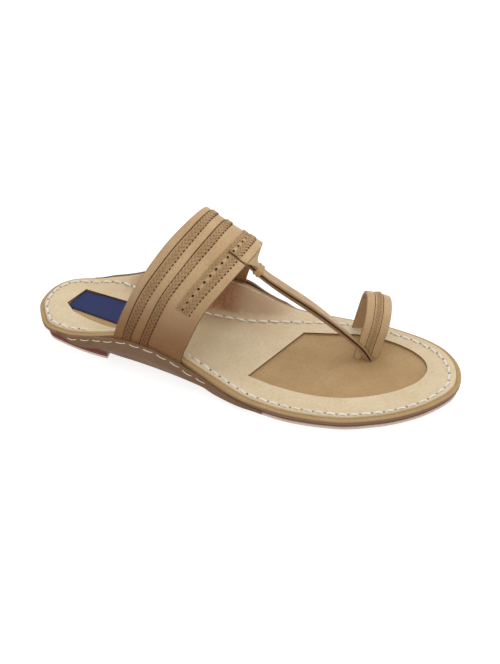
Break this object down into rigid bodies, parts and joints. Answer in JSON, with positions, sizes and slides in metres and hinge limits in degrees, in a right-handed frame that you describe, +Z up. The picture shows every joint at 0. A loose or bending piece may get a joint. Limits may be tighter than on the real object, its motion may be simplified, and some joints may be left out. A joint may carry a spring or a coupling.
{
  "type": "kolhapuri sandal",
  "caption": "Right kolhapuri sandal in tan leather: wide braided instep band, folded thong strap, toe ring, and a stacked leather sole with cupped waist and side ears.",
  "frame": {"origin": "on the floor under the middle of the heel, 30 mm in front of the back of the heel", "axes": "+X from heel to toe, +Y to the inner (big toe) side, +Z up from the floor"},
  "size_m": [0.2676, 0.0971, 0.0925],
  "materials": {
    "upper_leather": "smooth tan strap leather, satin, with braided and laced trim",
    "topsole_leather": "brown vegetable-tanned leather, burnished edge",
    "insole_leather": "natural cream leather, matt, hand-stitched round its edge",
    "midsole_leather": "reddish-brown stacked leather, cut edge",
    "heel_leather": "dark red-brown stacked leather, polished edge",
    "outsole_leather": "pale undyed sole leather, rough"
  },
  "bodies": {
    "root": {"heel_top_piece": "outsole_leather", "heel_lift": "heel_leather", "outsole": "outsole_leather", "midsole": "midsole_leather", "topsole": "topsole_leather", "insole": "insole_leather", "ear_lateral": "topsole_leather", "ear_medial": "topsole_leather", "upper": "upper_leather", "keeper_loop": "upper_leather"}
  },
  "joints": []
}
